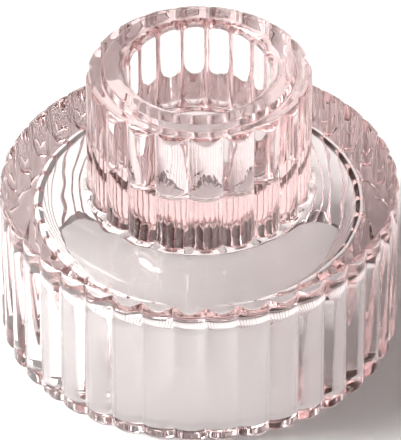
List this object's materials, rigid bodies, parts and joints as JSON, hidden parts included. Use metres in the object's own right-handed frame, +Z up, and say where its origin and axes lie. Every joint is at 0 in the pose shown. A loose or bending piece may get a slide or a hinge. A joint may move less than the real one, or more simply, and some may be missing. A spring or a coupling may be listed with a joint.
{
  "type": "glass candlestick",
  "caption": "Low pressed glass candlestick: a narrow reeded candle socket on a wide reeded hollow base, in pale rose glass.",
  "frame": {"origin": "centre of the flat ring that the candlestick stands on", "axes": "+Z up along the axis of the candle bore and of both drums; a valley between two reeds of the base faces -Y"},
  "size_m": [0.064, 0.0639, 0.0501],
  "materials": {
    "rose_glass": "clear pale rose glass tinted right through, pressed and fire polished, glossy"
  },
  "bodies": {
    "root": {"candle_socket": "rose_glass", "shoulder_web": "rose_glass", "base_skirt": "rose_glass"}
  },
  "joints": []
}
